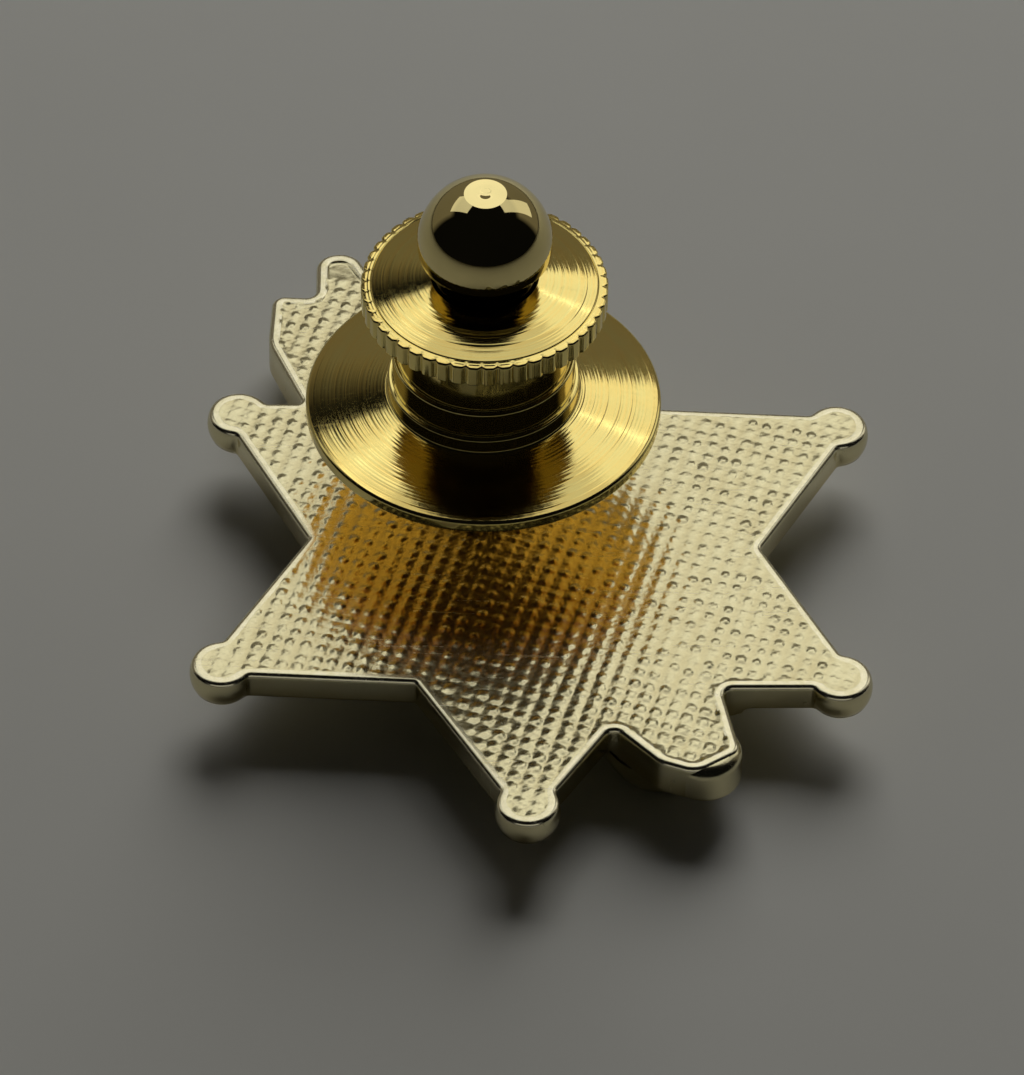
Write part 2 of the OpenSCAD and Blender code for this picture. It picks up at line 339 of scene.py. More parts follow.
def nearest(points, path):
    """Row of the path's nearest point to each point, and the distance, in slices to save memory."""
    rows, gaps, at_once = [], [], 2000
    line = path.astype(np.float32)
    for part in np.array_split(points.astype(np.float32), max(1, len(points) // at_once)):
        gap = ((part[:, None] - line[None]) ** 2).sum(2)
        rows.append(gap.argmin(1))
        gaps.append(np.sqrt(gap.min(1)))
    return np.concatenate(rows), np.concatenate(gaps).astype(float)


def depth_inside(points, path, out, coarse=8, exact_within=1.2 * MM):
    """Distance of each point inside a closed path, negative outside; it is rough far from the path."""
    row, gap = nearest(points, path[::coarse])
    row *= coarse
    close = gap < exact_within
    row[close], gap[close] = nearest(points[close], path)
    return gap * np.where(((points - path[row]) * out[row]).sum(1) < 0, 1, -1)


# Surfaces, meshes and objects


def surface_normals(points, closed_path=True, closed_profile=False):
    """Cross product of the central differences along the path and along the profile."""

    def slope(axis, closed):
        if closed:
            return np.roll(points, -1, axis) - np.roll(points, 1, axis)
        return np.gradient(points, axis=axis)

    normals = np.cross(slope(0, closed_path), slope(1, closed_profile))
    for column, side in ((0, 1), (-1, -2)):
        if np.ptp(points[:, column], axis=0).max() < SAME:
            normals[:, column] = unit(normals[:, side]).mean(0)
    return unit(normals)


def corners_of(grid):
    """The values at the four corners of each cell of a grid, anticlockwise."""
    return grid[:-1, :-1], grid[1:, :-1], grid[1:, 1:], grid[:-1, 1:]


class Patch:
    """A grid of points, path by profile, with a normal and the material's marks at each point.

    Its cells become faces, all or those named, and a cap closes its first column.
    """

    def __init__(self, points, closed_path=True, closed_profile=False, normals=None, cap=False,
                 cells=slice(None), **marks):
        self.points, self.closed = points, (closed_path, closed_profile)
        self.cap, self.cells = cap, cells
        self.normals = surface_normals(points, *self.closed) if normals is None else normals
        lined = ease(0.9, 0.97, self.normals[..., 2])
        self.marks = {"wear": 0, "recess": 0, "tarnish": 0, "lined": lined, **marks}

    def index(self):
        """Vertex numbers of the grid; a column that is one point in space is one vertex."""
        grid = np.arange(self.points[..., 0].size).reshape(self.points.shape[:2])
        for column in (0, -1):
            if np.ptp(self.points[:, column], axis=0).max() < SAME:
                grid[:, column] = grid[0, column]
        return grid

    def faces(self):
        """Quads between neighbours, with a triangle where a quad has lost an edge at a pole."""
        a = self.index()
        if self.closed[0]:
            a = np.vstack([a, a[:1]])
        if self.closed[1]:
            a = np.hstack([a, a[:, :1]])
        quads = np.stack(corners_of(a), -1)[self.cells].reshape(-1, 4)
        low, high = quads[:, 0] == quads[:, 1], quads[:, 2] == quads[:, 3]
        faces = quads[~(low | high)].tolist()
        faces += quads[low][:, [0, 2, 3]].tolist() + quads[high][:, :3].tolist()
        if self.cap:
            faces.append(a[:-1, 0][::-1].tolist())
        return faces


def add_object(name, data):
    """An object that holds the data, in the scene."""
    made = bpy.data.objects.new(name, data)
    bpy.context.scene.collection.objects.link(made)
    return made


def make_piece(name, patches, plate, node_name):
    """One smooth mesh object of all the patches, in that plate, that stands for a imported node."""
    faces, start = [], 0
    for patch in patches:
        faces += [[k + start for k in face] for face in patch.faces()]
        start += patch.points[..., 0].size
    used, lookup = np.unique(np.concatenate([np.array(f) for f in faces]), return_inverse=True)
    ends = np.cumsum([len(f) for f in faces])[:-1]
    faces = [f.tolist() for f in np.split(lookup, ends)]
    points, normals = (np.concatenate([getattr(p, k).reshape(-1, 3) for p in patches])[used]
                       for k in ("points", "normals"))
    mesh = bpy.data.meshes.new(name)
    mesh.from_pydata(points, [], faces)
    for label in patches[0].marks:
        values = [np.broadcast_to(p.marks[label], p.points.shape[:2]).reshape(-1) for p in patches]
        values = np.concatenate(values)[used].astype(np.float32)
        mesh.attributes.new(label, "FLOAT", "POINT").data.foreach_set("value", values)
    mesh.materials.append(plated_metal(plate))
    mesh.shade_smooth()
    mesh.normals_split_custom_set_from_vertices(normals)
    piece = add_object(name, mesh)
    body, slot = PLACES[node_name]
    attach(piece, body)
    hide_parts(node_name)


def revolve(axis, arcs, spacing, bend, steps, closed_profile=False, wobble=None):
    """A profile turned about an upright axis: the point is axis + radius x (cos, sin), at the height."""
    at, _, _ = trace(arcs, spacing, bend, closed_profile)
    turn = (np.arange(steps) * math.tau / steps)[:, None]
    radius, height = np.broadcast_to(at[:, 0], (steps, len(at))), np.broadcast_to(at[:, 1], (steps, len(at)))
    if wobble:
        radius = radius + wobble(turn, radius, height)
    points = np.stack([axis[0] + radius * np.cos(turn), axis[1] + radius * np.sin(turn), height], -1)
    return Patch(points, True, closed_profile)


def sweep(path, out, offset, height, **marks):
    """A profile carried along a path: the point is path + outward normal x offset, at the height."""
    offset = np.broadcast_to(offset, (len(path), offset.shape[-1]))
    flat = path[:, None] + out[:, None] * offset[..., None]
    return Patch(np.concatenate([flat, np.broadcast_to(height, offset.shape)[..., None]], -1), **marks)


# Materials


def feed(tree, sockets, inputs):
    """Fills a node's sockets: a socket is linked, anything else is a value."""
    for key, value in inputs.items():
        if isinstance(value, bpy.types.NodeSocket):
            tree.links.new(value, sockets[key])
        else:
            sockets[key].default_value = value


def node(tree, kind, inputs=None, **settings):
    """A shader node with its settings and inputs."""
    made = tree.nodes.new("ShaderNode" + kind)
    for key, value in settings.items():
        setattr(made, key, value)
    feed(tree, made.inputs, inputs or {})
    return made


def maths(tree, operation, *values):
    """A Math node's result."""
    return node(tree, "Math", dict(enumerate(values)), operation=operation).outputs[0]


def mix_colour(tree, factor, low, high):
    """A colour between two others."""
    low, high = (c if isinstance(c, bpy.types.NodeSocket) else (*c, 1) for c in (low, high))
    return node(tree, "Mix", {"Factor": factor, 6: low, 7: high}, data_type="RGBA").outputs[2]


def noise(tree, place, scale, detail):
    """A noise texture's value at the place."""
    return node(tree, "TexNoise", {"Vector": place, "Scale": scale, "Detail": detail}).outputs[0]


def line_noise(tree, along, scale, detail):
    """A noise that changes along one number only."""
    inputs = {"W": along, "Scale": scale, "Detail": detail}
    return node(tree, "TexNoise", inputs, noise_dimensions="1D").outputs[0]


def vector_maths(tree, operation, first, second=(0, 0, 0), output=0):
    """A Vector Math node's result."""
    return node(tree, "VectorMath", {0: first, 1: second}, operation=operation).outputs[output]


def map_range(tree, value, low, high):
    """The value carried from a range to 0 to 1, and held at its ends."""
    return node(tree, "MapRange", {"Value": value, "From Min": low, "From Max": high}).outputs[0]


def plate_mottle(tree, given):
    """Slow changes of tone and gloss, and a fine unevenness, as plate has."""
    slow = noise(tree, given["Vector"], given["Scale"], 3)
    fine = noise(tree, given["Vector"], maths(tree, "MULTIPLY", given["Scale"], 7), 2)
    return {"Tone": map_range(tree, slow, 0.35, 0.65), "Gloss": map_range(tree, fine, 0.3, 0.7),
            "Height": fine}


def turning_lines(tree, given):
    """Concentric lines about an upright axis: noise along the distance from the axis, at two spacings."""
    away = vector_maths(tree, "SUBTRACT", given["Vector"], given["Centre"])
    flat = vector_maths(tree, "MULTIPLY", away, (1, 1, 0))
    along = maths(tree, "DIVIDE", vector_maths(tree, "LENGTH", flat, output="Value"), given["Spacing"])
    fine, broad = line_noise(tree, along, 1, 1), line_noise(tree, along, 0.22, 2)
    return {"Height": maths(tree, "ADD", fine, maths(tree, "MULTIPLY", broad, 1.5)),
            "Shade": map_range(tree, maths(tree, "ADD", fine, broad), 0.8, 1.2)}


def fine_scratches(tree, given):
    """Fine straight scratches: noise drawn out along one way of the surface, cut to its thin crests."""
    inputs = {"Vector": given["Vector"], "Rotation": given["Turn"], "Scale": (260, 9000, 900)}
    crest = map_range(tree, noise(tree, node(tree, "Mapping", inputs).outputs[0], 1, 2), 0.62, 0.7)
    return {"Mask": maths(tree, "MULTIPLY", crest, given["Amount"])}


def edge_wear(tree, given):
    """Edge wear: the piece's own wear mark, broken up by a fine noise."""
    broken = maths(tree, "ADD", given["Wear"], noise(tree, given["Vector"], 2600, 3))
    return {"Mask": map_range(tree, broken, 0.95, 1.35)}


# What fills each group, and the group's inputs besides Vector, with their defaults
GROUPS = {
    plate_mottle: {"Scale": 900.0},
    turning_lines: {"Centre": (0, 0, 0), "Spacing": 0.09 * MM},
    fine_scratches: {"Turn": (0, 0, 0.5), "Amount": 0.5},
    edge_wear: {"Wear": 0.0},
}


def make_group(fill):
    """A shader node group with named inputs and outputs, named for the function that fills it."""
    group = bpy.data.node_groups.new(fill.__name__, "ShaderNodeTree")
    for label, default in {"Vector": (0, 0, 0), **GROUPS[fill]}.items():
        kind = "NodeSocketVector" if isinstance(default, tuple) else "NodeSocketFloat"
        group.interface.new_socket(label, in_out="INPUT", socket_type=kind).default_value = default
    results = fill(group, group.nodes.new("NodeGroupInput").outputs)
    for label in results:
        group.interface.new_socket(label, in_out="OUTPUT", socket_type="NodeSocketFloat")
    feed(group, group.nodes.new("NodeGroupOutput").inputs, results)
    return group


def use_group(tree, fill, inputs):
    """Outputs of a node that holds the group, which is made when it is first asked for."""
    group = bpy.data.node_groups.get(fill.__name__) or make_group(fill)
    return node(tree, "Group", inputs, node_tree=group).outputs


def mark(tree, name):
    """A piece's own mark, kept as an attribute of its mesh."""
    return node(tree, "Attribute", attribute_name=name).outputs["Fac"]


def new_material(name):
    """A material, its node tree and its Principled shader's sockets."""
    material = bpy.data.materials.new(name)
    material.use_nodes = True
    return material, material.node_tree, material.node_tree.nodes["Principled BSDF"].inputs


# Each plate's material, how much its gloss varies, its mottle's scale, and the depths of its grain and of its
# turning lines, in mm, as the Bump node's distance is 1 mm
PLATES = {
    "casting": ("pale_gold_casting", 0.06, 900.0, 0.0015, 0.0),
    "turned": ("turned_gold_plate", 0.04, 900.0, 0.0, 0.003),
    "polished": ("polished_gold_plate", 0.015, 400.0, 0.0, 0.0),
}
# Colour of plate that is rubbed bright
WORN = (0.95, 0.9, 0.72)


def plated_metal(plate):
    """Gold plate: tone from mottle, painted shade, turning lines, wear and painted dark shade; gloss from
    mottle, scratches and the painted shade mask.
    """
    name, spread, grain, grain_depth, lines_depth = PLATES[plate]
    material = bpy.data.materials.get(name)
    if material:
        return material
    finish = bpy.context.scene.lapel_finishes
    bright, deep, rough = (getattr(finish, plate + part) for part in ("", "_deep", "_rough"))
    # Shares of the deep colour in mottle and lines, share of the worn colour, and roughness added where shade
    # is painted
    in_mottle, in_lines, rubbed, dull = 0.16, 0.25, 0.4, 0.03
    material, tree, shader = new_material(name)
    place = node(tree, "TexCoord").outputs["Object"]
    recess = mark(tree, "recess")
    mottle = use_group(tree, plate_mottle, {"Vector": place, "Scale": grain})
    scratches = use_group(tree, fine_scratches, {"Vector": place, "Amount": spread})
    wear = use_group(tree, edge_wear, {"Vector": place, "Wear": mark(tree, "wear")})
    dark = maths(tree, "MULTIPLY_ADD", mottle["Tone"], in_mottle, recess)
    height = maths(tree, "MULTIPLY", mottle["Height"], grain_depth)
    if lines_depth:
        lines = use_group(tree, turning_lines, {"Vector": place, "Centre": tuple(CLUTCH_AXIS)})
        lined = mark(tree, "lined")
        shade = maths(tree, "MULTIPLY", lines["Shade"], lined)
        dark = maths(tree, "MULTIPLY_ADD", shade, in_lines, dark)
        depth = maths(tree, "MULTIPLY", lined, lines_depth)
        height = maths(tree, "MULTIPLY_ADD", lines["Height"], depth, height)
    # Painted shade: the painted shade mask mixes in the deep colour, as the random mottle and the turning
    # lines also do
    base = mix_colour(tree, maths(tree, "MINIMUM", dark, 1.0), bright, deep)
    worn = mix_colour(tree, maths(tree, "MULTIPLY", wear["Mask"], rubbed), base, WORN)
    # Painted shade and dark reflection: round the post and under the ring the plate is mixed towards near
    # black
    worn = mix_colour(tree, mark(tree, "tarnish"), worn, finish.tarnish)
    gloss = maths(tree, "MULTIPLY_ADD", mottle["Gloss"], spread, rough)
    gloss = maths(tree, "ADD", scratches["Mask"], gloss)
    gloss = maths(tree, "MULTIPLY_ADD", recess, dull, gloss)
    feed(tree, shader, {"Base Color": worn, "Metallic": 1.0, "Roughness": gloss})
    if grain_depth or lines_depth:
        relief = node(tree, "Bump", {"Strength": 1.0, "Distance": MM, "Height": height}).outputs[0]
        feed(tree, shader, {"Normal": relief})
    return material


# Operators


class LAPEL_OT_rim(Operator):
    """Build the star's smooth edge: the border's outer part, the rounded shoulder, the wall and the heel"""

    bl_idname = "lapel.rim"
    bl_label = "Badge rim"

    def execute(self, context):
        sizes = context.scene.lapel_badge
        path, out, ball = trace(star_arcs(sizes), 0.1, 7)

        # 1 where the raised form reaches the outline, 0 elsewhere, and a smooth step between them
        form_path, form_out, _ = trace(form_arcs(), 0.05, 6)
        margin, slack, smooth = 0.05 * MM, 0.02 * MM, 9
        thick = (depth_inside(path - out * margin, form_path, form_out) > -slack).astype(float)
        kernel, half = np.hanning(smooth) / np.hanning(smooth).sum(), smooth // 2
        thick = np.convolve(np.concatenate([thick[-half:], thick, thick[:half]]), kernel, "valid")

        # Two profiles of offset and height from the back's edge, which end dipped under the dotted field
        inset, low_end = -0.3 * MM, 0.01 * MM - sizes.plate
        dip_end, dip = -0.37 * MM, -0.014 * MM
        plate_line = corner_arcs([
            (inset, low_end, 0), (0, -sizes.plate, sizes.heel), (0, 0, sizes.shoulder), (inset, 0, 0),
            (dip_end, dip, 0)], closed=False)
        round_off = sizes.shoulder
        face = math.sqrt(sizes.ball**2 - sizes.ball_depth**2)
        lift = sizes.ball_depth - round_off
        reach = math.sqrt((sizes.ball - round_off) ** 2 - lift**2)
        low, high = math.asin((sizes.ball_depth - sizes.plate) / sizes.ball), math.atan2(lift, reach)
        ball_line = np.array([
            [inset, low_end, 0, -math.pi / 2, 0, 0, 0],
            [-face, -sizes.ball_depth, sizes.ball, low, high - low, 0, 0],
            [reach - face, -round_off, round_off, high, math.pi / 2 - high, 0, 0],
            [inset, 0, 0, math.pi / 2, 0, 0, 0],
            [dip_end, dip, 0, math.pi / 2, 0, 0, 0]])
        lines, columns, crowd = [], 36, 0.004 * MM
        for arcs in (plate_line, ball_line):
            at, _, _ = trace(arcs, 0.01, 1, closed=False)
            span = np.append(0, np.cumsum(np.linalg.norm(np.diff(at, axis=0), axis=1) + crowd))
            even = np.linspace(0, span[-1], columns)
            lines.append(np.stack([np.interp(even, span, at[:, k]) for k in (0, 1)], 1))
        plate, tip = lines
        ball = ball[:, None, None]
        both = plate * (1 - ball) + tip * ball
        offset, height = both[..., 0], both[..., 1]
        drop = (sizes.form - sizes.plate) * ease(0.15 * MM, 0.9 * MM, -height)
        height = height - drop * thick[:, None]
        worn_at, worn_width = 0.05 * MM, 0.09 * MM
        wear = np.exp(-((height + worn_at) / worn_width) ** 2)
        # Painted shade: the wall takes the deep colour towards its lower edge, which faces the floor
        recess = 0.45 * ease(0.3 * MM, 1.0 * MM, -height)
        patch = sweep(path, out, offset, sizes.back + height, wear=wear, recess=recess)
        make_piece("badge_rim", [patch], "casting", "star_badge")
        return {"FINISHED"}


def dot_relief(u, v, table, corner, dots, lower):
    """Height at u, v in pitches: the highest of the nine nearest dots, plus a ridge along the columns.

    A dot is a round dome, height x (1 - ease of distance / radius). The ridge is cos^2 across its column, and
    is lower where a dot stands. The table holds each dot's two shifts, swell and rise, from its corner on.
    """
    shift, spread, unlike = 0.06, 0.1, 0.3
    best, last = np.zeros(u.shape), table.shape[1] - 1
    for du in (-1, 0, 1):
        for dv in (-1, 0, 1):
            cu, cv = np.round(u) + du, np.round(v) + dv
            row, column = (np.clip((c - low).astype(int), 0, last) for c, low in zip((cu, cv), corner))
            shift_u, shift_v, swell, rise = table[:, row, column]
            gap = np.hypot(u - cu - shift * shift_u, v - cv - shift * shift_v) * dots.pitch
            reach = dots.radius * (1 + spread * swell + dots.swell * lower)
            height = dots.height * (1 + unlike * rise + 2 * dots.swell * lower)
            best = np.maximum(best, height * (1 - ease(0, 1, gap / reach)))
    ridge = dots.ridge * (1 + 2 * dots.swell * lower) * np.cos(math.pi * (u - np.round(u))) ** 2
    return best + ridge * np.clip(1 - 0.5 * best / dots.height, 0, 1)


def ripples(place, rng, count=16):
    """Height and slope of a sum of straight unit sine waves, 0.14 to 0.4 mm long, each its own way."""
    ways, waves = rng.uniform(0, math.tau, count), math.tau / (rng.uniform(0.14, 0.4, count) * MM)
    phases = rng.uniform(0, math.tau, count)
    height, slope = np.zeros(place.shape[:2]), np.zeros(place.shape)
    for way, wave, phase in zip(ways, waves, phases):
        line = np.array([math.cos(way), math.sin(way)])
        at = wave * (place @ line) + phase
        height += np.sin(at)
        slope += (wave * np.cos(at))[..., None] * line
    return height, slope


class LAPEL_OT_field(Operator):
    """Build the dotted back: domes on a square grid that stands at an angle, inside a smooth raised border"""

    bl_idname = "lapel.field"
    bl_label = "Dotted field"

    def execute(self, context):
        sizes, dots = context.scene.lapel_badge, context.scene.lapel_dots
        path, out, _ = trace(star_arcs(sizes), 0.05, 6)
        across = np.array([math.cos(dots.turn), math.sin(dots.turn)])
        along = np.array([-across[1], across[0]])
        start = np.array([dots.start_x, dots.start_y])
        farthest = np.linalg.norm(path, axis=1).max()
        spread = math.ceil(farthest / dots.pitch)
        middle = np.round(np.array([across, along]) @ -start / dots.pitch)
        cells = np.arange(-spread * dots.samples, spread * dots.samples + 1) / dots.samples
        u, v = np.meshgrid(cells + middle[0], cells + middle[1], indexing="ij")
        seed = 11
        rng = np.random.default_rng(seed)
        table, corner = rng.normal(0, 1, (4, 2 * spread + 3, 2 * spread + 3)), middle - spread - 1

        place = start + (u[..., None] * across + v[..., None] * along) * dots.pitch
        flat = place.reshape(-1, 2)
        near = np.linalg.norm(flat, axis=1) < farthest
        depth = np.full(len(flat), -1.0)
        depth[near] = depth_inside(flat[near], path, out)
        depth = depth.reshape(u.shape)

        # Places: lower end, two lobes, near the balls, and the upper lobe's smooth end
        x, y = place[..., 0], place[..., 1]
        lower = 1 - ease(-8.5 * MM, -4.5 * MM, y)
        ripple, ripple_slope = ripples(place, rng)
        lobe, from_ball = np.zeros(u.shape), np.full(u.shape, np.inf)
        for seat in (BOSS_SEAT, UPPER_LOBE[:5, :2].mean(0)):
            lobe += 1 - ease(2.4 * MM, 4.2 * MM, np.linalg.norm(place - seat * MM, axis=-1))
        for way in BALL_WAYS:
            gap = np.linalg.norm(place - polar(sizes.ball_ring, way), axis=-1)
            from_ball = np.minimum(from_ball, gap)
        smooth_end = ease(12.1 * MM, 12.5 * MM, y) * (x < -5 * MM)

        # Shares of the dots' height and of the grain, and the field's depth under its border: the smooth end
        # slopes down, and the outermost strip is tucked under the rim
        border = dots.border
        dotted = ease(border * 0.8, border * 1.25, depth) * (1 - 0.9 * smooth_end)
        dotted *= 0.4 + 0.6 * ease(0.3 * MM, 0.85 * MM, from_ball)
        rough = ease(border * 0.9, border * 1.4, depth) * (1 - 0.8 * smooth_end)
        end_slope, tuck = 0.045, 0.01 * MM
        sunk = dots.border_rise * (0.2 + 0.8 * lobe) * ease(border * 0.8, border * 1.6, depth)
        sunk += end_slope * np.maximum(y - 12.15 * MM, 0) * smooth_end * ease(0.26 * MM, 0.45 * MM, depth)
        sunk += tuck * (1 - ease(0.22 * MM, 0.3 * MM, depth))

        def relief(u, v):
            return dot_relief(u, v, table, corner, dots, lower)

        heights, step = relief(u, v), 0.01
        slope_u = (relief(u + step, v) - relief(u - step, v)) / (2 * step * dots.pitch) * dotted
        slope_v = (relief(u, v + step) - relief(u, v - step)) / (2 * step * dots.pitch) * dotted
        sink_u, sink_v = np.gradient(sunk, dots.pitch / dots.samples)
        slope = (slope_u - sink_u)[..., None] * across + (slope_v - sink_v)[..., None] * along
        slope += dots.grain * ripple_slope * rough[..., None]
        normals = unit(np.concatenate([-slope, np.ones(u.shape + (1,))], -1))
        z = sizes.back - sunk + heights * dotted + dots.grain * ripple * rough
        points = np.concatenate([place, z[..., None]], -1)

        # Painted shade: the plate takes its deep colour between the dots, and a near-black patch is painted
        # round the post for the shade and dark reflection under the clutch, furthest above it
        recess = dotted * (1 - np.clip(heights / (0.5 * dots.height), 0, 1)) * 0.25
        off_x, off_y = x - CLUTCH_AXIS.x, y - CLUTCH_AXIS.y
        drawn_out, uneven = 0.45, 0.05 * MM
        from_post = np.hypot(off_x, off_y * np.where(off_y > 0, drawn_out, 1))
        tarnish = 1 - ease(1.9 * MM, 3.1 * MM, from_post + uneven * ripple)
        outer_edge = 0.2 * MM
        inner = np.all(corners_of(depth > outer_edge), axis=0)
        patch = Patch(points, False, False, normals, cells=inner, recess=recess, tarnish=tarnish)
        make_piece("dotted_field", [patch], "casting", "star_badge")
        return {"FINISHED"}


class LAPEL_OT_front(Operator):
    """Build the front, which lies face down: ball undersides, face, raised form and rib, finished plainly"""

    bl_idname = "lapel.front"
    bl_label = "Badge front"

    def execute(self, context):
        sizes = context.scene.lapel_badge
        overlap = 0.06 * MM
        low = math.asin((sizes.ball_depth - sizes.plate + overlap) / sizes.ball)
        cap = np.array([
            [0, sizes.back - sizes.ball_depth, sizes.ball, -math.pi / 2, low + math.pi / 2, 0, 0]])
        balls = [revolve(polar(sizes.ball_ring, way), cap, 0.12, 6, 72) for way in BALL_WAYS]
        make_piece("tip_balls", balls, "casting", "star_badge")

        path, out, _ = trace(star_arcs(sizes), 0.25, 8)
        line = np.array([(-0.12, 0.0), (-0.07, 0.0), (-0.03, 0.03)]) * MM
        face = sweep(path, out, line[:, 0], sizes.back - sizes.plate + line[:, 1], cap=True)
        make_piece("front_face", [face], "casting", "star_badge")

        path, out, _ = trace(form_arcs(), 0.2, 8)
        bottom = sizes.back - sizes.form
        inset, into_plate = -0.02 * MM, 0.1 * MM
        top = sizes.back - sizes.plate + into_plate
        edge = corner_arcs([(-0.2 * MM, bottom, 0), (inset, bottom, 0.1 * MM), (inset, top, 0)], closed=False)
        at, _, _ = trace(edge, 0.15, 15, closed=False)
        form = sweep(path, out, at[:, 0], at[:, 1], cap=True)
        make_piece("front_form", [form], "casting", "star_badge")

        top, wide = sizes.back - 0.01 * MM, 1.2 * MM
        line = corner_arcs([
            (0, bottom, 0), (wide, bottom, 0.12 * MM), (wide, top, 0.37 * MM), (0.8 * MM, top, 0)],
            closed=False)
        boss = revolve(BOSS_SEAT * MM, line, 0.08, 6, 144)

        # Inside the outline the boss's top is lowered, so that it stays under the dotted field
        depth = depth_inside(boss.points[..., :2].reshape(-1, 2), *trace(star_arcs(sizes), 0.1, 8)[:2])
        hidden = ease(0.02 * MM, 0.15 * MM, depth).reshape(boss.points.shape[:2])
        lowered = 0.3 * MM
        boss.points[..., 2] -= lowered * hidden * ease(top - 0.6 * MM, top - 0.3 * MM, boss.points[..., 2])
        make_piece("lobe_boss", [boss], "casting", "star_badge")

        run = RIB_SEATS[1] - RIB_SEATS[0]
        starts = math.atan2(run[1], run[0]) + np.array([math.pi / 2, -math.pi / 2])
        ends = arc_rows(RIB_SEATS * MM, sizes.rib, starts, math.pi)
        path, out, _ = trace(ends, 0.4, 5)
        columns = 16
        swing = np.linspace(0, math.pi / 2, columns)
        offset = (sizes.rib - sizes.rib_flat) * (np.sin(swing) - 1)
        height = bottom * (1 - np.cos(swing))
        rib = sweep(path, out, offset, height, cap=True)
        make_piece("front_rib", [rib], "casting", "star_badge")
        return {"FINISHED"}


class LAPEL_OT_post(Operator):
    """Build the soldered post: a fillet of solder, the root with its shoulder, the stem and the point"""

    bl_idname = "lapel.post"
    bl_label = "Post"

    def execute(self, context):
        foot = context.scene.lapel_badge.back - 0.08 * MM
        root, stem, shoulder = 0.6 * MM, 0.44 * MM, foot + 3.28 * MM
        line = corner_arcs([
            (root + 0.32 * MM, foot, 0), (root + 0.14 * MM, foot + 0.09 * MM, 0.08 * MM),
            (root, foot + 0.3 * MM, 0.3 * MM), (root, shoulder, 0.05 * MM),
            (stem, shoulder + 0.15 * MM, 0.1 * MM), (stem, POST_TOP - 1.2 * MM, 0.5 * MM),
            (0.12 * MM, POST_TOP, 0.08 * MM), (0, POST_TOP, 0)], closed=False)

        def uneven(turn, radius, height):
            """Three waves round the post, which die out 0.3 mm above its foot."""
            wave = 0.05 * np.sin(3 * turn + 0.6) + 0.035 * np.sin(5 * turn + 2.1) + 0.02 * np.sin(9 * turn)
            return wave * MM * np.clip(1 - (height - foot) / (0.3 * MM), 0, 1)

        post = revolve(CLUTCH_AXIS, line, 0.15, 10, 72, wobble=uneven)
        make_piece("clutch_post", [post], "polished", "star_badge")
        return {"FINISHED"}


class LAPEL_OT_base(Operator):
    """Build the turned housing: a disc with a coned top and a rounded edge, and a barrel with two steps"""

    bl_idname = "lapel.base"
    bl_label = "Clutch base"

    def execute(self, context):
        sizes = context.scene.lapel_clutch
        drop, step_1, step_2 = 0.15 * MM, 1.05 * MM, 2.05 * MM
        wide, middle, narrow = sizes.barrel, sizes.barrel - drop, sizes.barrel - 2 * drop
        rows = np.array([
            (sizes.bore, -sizes.disc_edge, 0.1 * MM), (sizes.disc, -sizes.disc_edge, 0.13 * MM),
            (sizes.disc, -0.02 * MM, 0.12 * MM), (wide, sizes.disc_rise, 0.1 * MM),
            (wide, step_1, 0.07 * MM), (middle, step_1, 0.03 * MM),
            (middle, step_2, 0.07 * MM), (narrow, step_2, 0.03 * MM),
            (narrow, sizes.barrel_top, 0.06 * MM), (sizes.chamber, sizes.barrel_top, 0.06 * MM),
            (sizes.chamber, sizes.chamber_floor, 0.1 * MM), (sizes.bore, sizes.chamber_floor, 0.05 * MM)])
        rows[:, 1] += sizes.rim
        base = revolve(CLUTCH_AXIS, corner_arcs(rows), 0.22, 12, 288, closed_profile=True)
        # Painted shade: the downward-facing undersides take the deep, orange colour
        base.marks["recess"] = ease(0.5, 0.9, -base.normals[..., 2])
        make_piece("turned_base", [base], "turned", "clutch_base")
        return {"FINISHED"}


class LAPEL_OT_ring(Operator):
    """Build the knurled ring: a coned top and straight grooves round its edge, on the spigot in the barrel"""

    bl_idname = "lapel.ring"
    bl_label = "Knurled ring"

    def execute(self, context):
        sizes = context.scene.lapel_clutch
        hole, spigot = sizes.neck + 0.05 * MM, sizes.chamber - 0.03 * MM
        seat, spigot_end = sizes.barrel_top + 0.03 * MM, RING_LOW.z - sizes.rim
        top, band, line = seat + sizes.ring_edge, sizes.ring - 0.32 * MM, 0.03 * MM
        rows = np.array([
            (hole, spigot_end, 0.04 * MM), (spigot, spigot_end, 0.06 * MM), (spigot, seat, 0.03 * MM),
            (sizes.ring, seat, 0.07 * MM), (sizes.ring, top, 0.07 * MM), (band + line, top + 0.03 * MM, 0),
            (band, top + 0.015 * MM, 0.01 * MM), (band - line, top + 0.045 * MM, 0),
            (hole, top + sizes.ring_rise, 0.04 * MM)])
        rows[:, 1] += sizes.rim

        def grooves(turn, radius, height):
            """Depth x (1 - distance from the groove / half its width)^1.5, on the ring's outermost part."""
            each = math.tau / sizes.knurls
            gap = np.abs(turn - np.round(turn / each) * each) * sizes.ring / (sizes.knurl_width / 2)
            outermost = ease(sizes.ring - 0.25 * MM, sizes.ring - 0.08 * MM, radius)
            return -sizes.knurl_depth * np.clip(1 - gap, 0, 1) ** 1.5 * outermost

        steps = sizes.knurls * 16
        ring = revolve(CLUTCH_AXIS, corner_arcs(rows), 0.14, 15, steps, closed_profile=True, wobble=grooves)
        # Painted shade: the ring's downward-facing underside is mixed towards the near-black colour
        ring.marks["tarnish"] = 0.8 * ease(0.5, 0.9, -ring.normals[..., 2])
        make_piece("knurled_flange", [ring], "turned", "knurled_ring")
        return {"FINISHED"}


